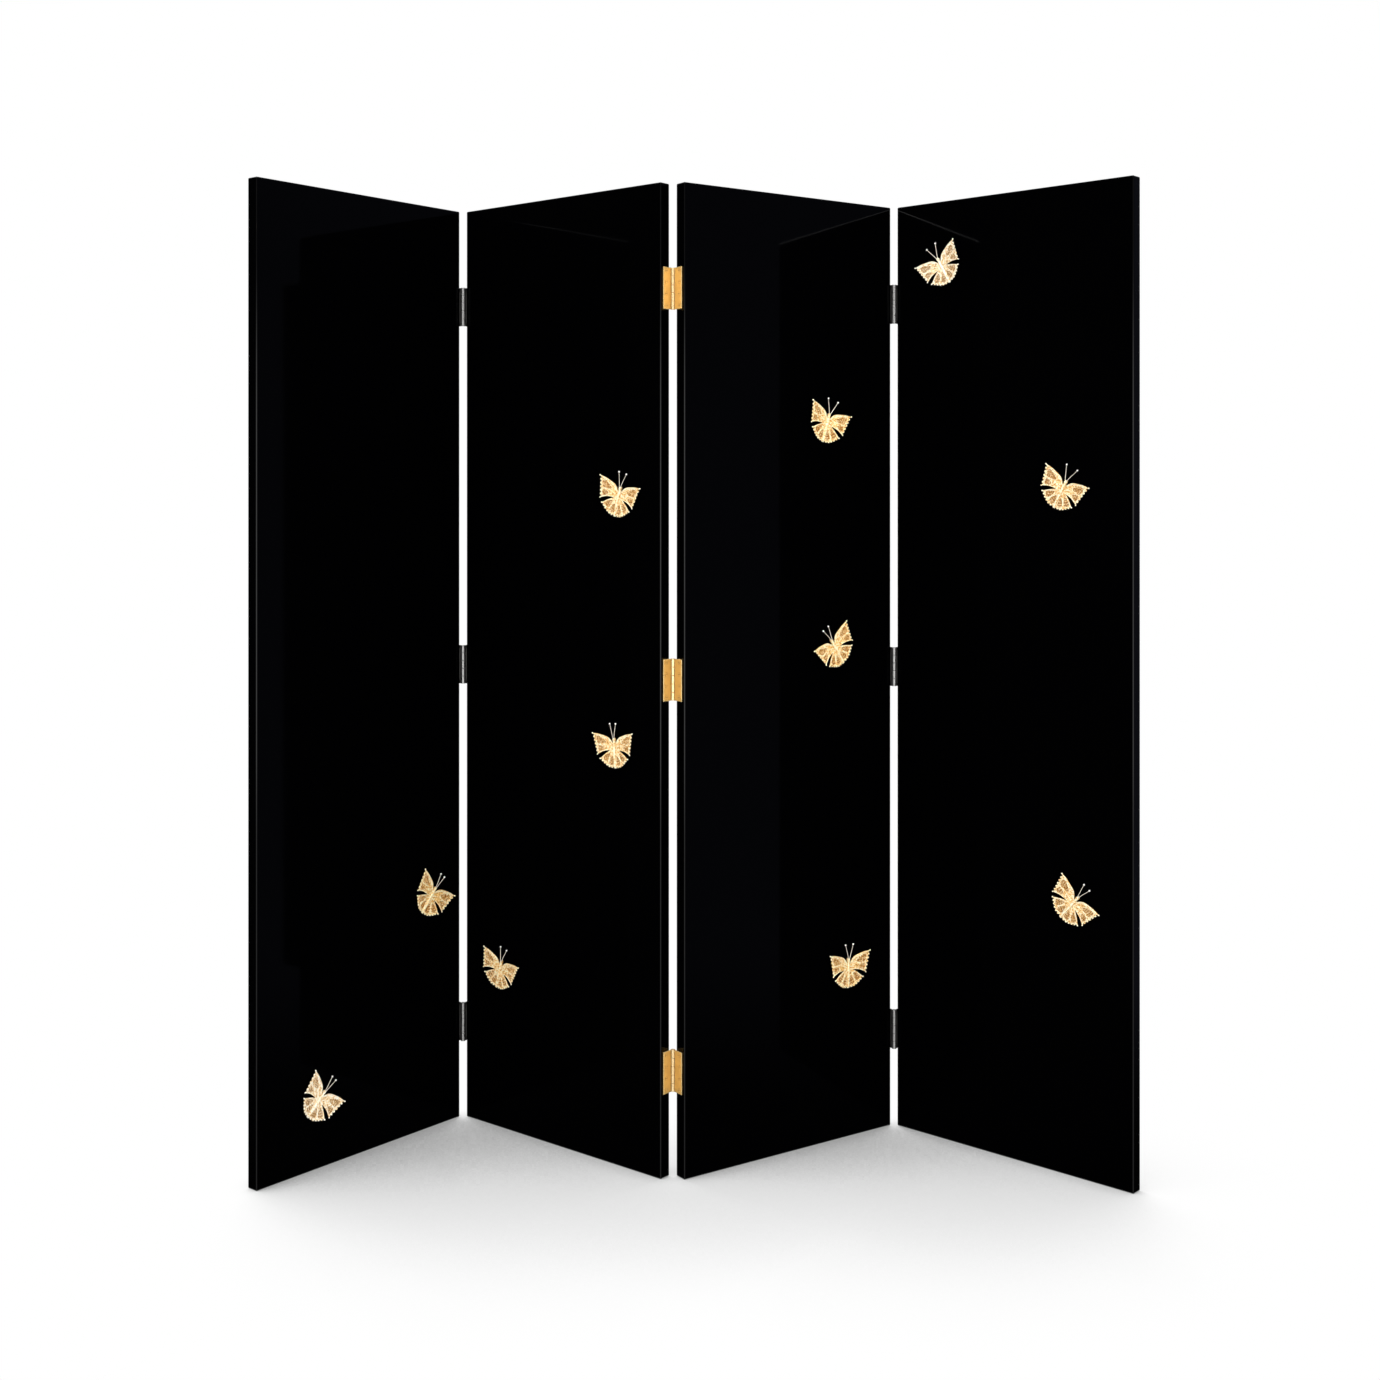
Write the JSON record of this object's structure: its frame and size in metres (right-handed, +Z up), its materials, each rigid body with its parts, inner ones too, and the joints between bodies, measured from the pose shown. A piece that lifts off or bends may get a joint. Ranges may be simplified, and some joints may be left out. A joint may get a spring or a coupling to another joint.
{
  "type": "folding screen",
  "caption": "Folding room screen: black lacquered panels in a zigzag on butt hinges, with gilt filigree butterflies on the front faces.",
  "frame": {"origin": "on the floor, in the middle of the zigzag's footprint as it stands in the picture", "axes": "+Z up; +X to the right along the screen for someone in front of it; +Y away from them, so the butterflies face -Y"},
  "size_m": [1.5854, 0.4098, 1.8],
  "materials": {
    "black_lacquer": "deep gloss black lacquer",
    "core_board": "raw light board",
    "polished_brass": "polished",
    "blackened_brass": "blackened, satin",
    "gilt": "pale gilt filigree"
  },
  "bodies": {
    "panel_1": {"left_joint_bottom_leaf_panel_1": "blackened_brass", "left_joint_middle_leaf_panel_1": "blackened_brass", "left_joint_top_leaf_panel_1": "blackened_brass", "panel_1_back_skin": "black_lacquer", "panel_1_bottom_lipping": "black_lacquer", "panel_1_butterflies": "gilt", "panel_1_core": "core_board", "panel_1_front_skin": "black_lacquer", "panel_1_left_lipping": "black_lacquer", "panel_1_right_lipping": "black_lacquer", "panel_1_top_lipping": "black_lacquer"},
    "panel_2": {"centre_joint_bottom_leaf_panel_2": "polished_brass", "centre_joint_middle_leaf_panel_2": "polished_brass", "centre_joint_top_leaf_panel_2": "polished_brass", "left_joint_bottom_leaf_panel_2": "blackened_brass", "left_joint_bottom_pin": "blackened_brass", "left_joint_middle_leaf_panel_2": "blackened_brass", "left_joint_middle_pin": "blackened_brass", "left_joint_top_leaf_panel_2": "blackened_brass", "left_joint_top_pin": "blackened_brass", "panel_2_back_skin": "black_lacquer", "panel_2_bottom_lipping": "black_lacquer", "panel_2_butterflies": "gilt", "panel_2_core": "core_board", "panel_2_front_skin": "black_lacquer", "panel_2_left_lipping": "black_lacquer", "panel_2_right_lipping": "black_lacquer", "panel_2_top_lipping": "black_lacquer"},
    "panel_3": {"centre_joint_bottom_leaf_panel_3": "polished_brass", "centre_joint_bottom_pin": "polished_brass", "centre_joint_middle_leaf_panel_3": "polished_brass", "centre_joint_middle_pin": "polished_brass", "centre_joint_top_leaf_panel_3": "polished_brass", "centre_joint_top_pin": "polished_brass", "panel_3_back_skin": "black_lacquer", "panel_3_bottom_lipping": "black_lacquer", "panel_3_butterflies": "gilt", "panel_3_core": "core_board", "panel_3_front_skin": "black_lacquer", "panel_3_left_lipping": "black_lacquer", "panel_3_right_lipping": "black_lacquer", "panel_3_top_lipping": "black_lacquer", "right_joint_bottom_leaf_panel_3": "blackened_brass", "right_joint_middle_leaf_panel_3": "blackened_brass", "right_joint_top_leaf_panel_3": "blackened_brass"},
    "panel_4": {"panel_4_back_skin": "black_lacquer", "panel_4_bottom_lipping": "black_lacquer", "panel_4_butterflies": "gilt", "panel_4_core": "core_board", "panel_4_front_skin": "black_lacquer", "panel_4_left_lipping": "black_lacquer", "panel_4_right_lipping": "black_lacquer", "panel_4_top_lipping": "black_lacquer", "right_joint_bottom_leaf_panel_4": "blackened_brass", "right_joint_bottom_pin": "blackened_brass", "right_joint_middle_leaf_panel_4": "blackened_brass", "right_joint_middle_pin": "blackened_brass", "right_joint_top_leaf_panel_4": "blackened_brass", "right_joint_top_pin": "blackened_brass"}
  },
  "joints": [
    {"name": "left_fold", "type": "hinge", "parent": "panel_2", "child": "panel_1", "pos_m": [-0.44262, 0.18336, 0.9], "axis": [0, 0, 1], "range_deg": [-90, 90]},
    {"name": "centre_fold", "type": "hinge", "parent": "panel_2", "child": "panel_3", "pos_m": [-0.03423, -0.11586, 0.9], "axis": [0, 0, 1], "range_deg": [-74.5, 105.5]},
    {"name": "right_fold", "type": "hinge", "parent": "panel_3", "child": "panel_4", "pos_m": [0.40628, 0.13367, 0.9], "axis": [0, 0, 1], "range_deg": [-102.8, 77.2]}
  ]
}
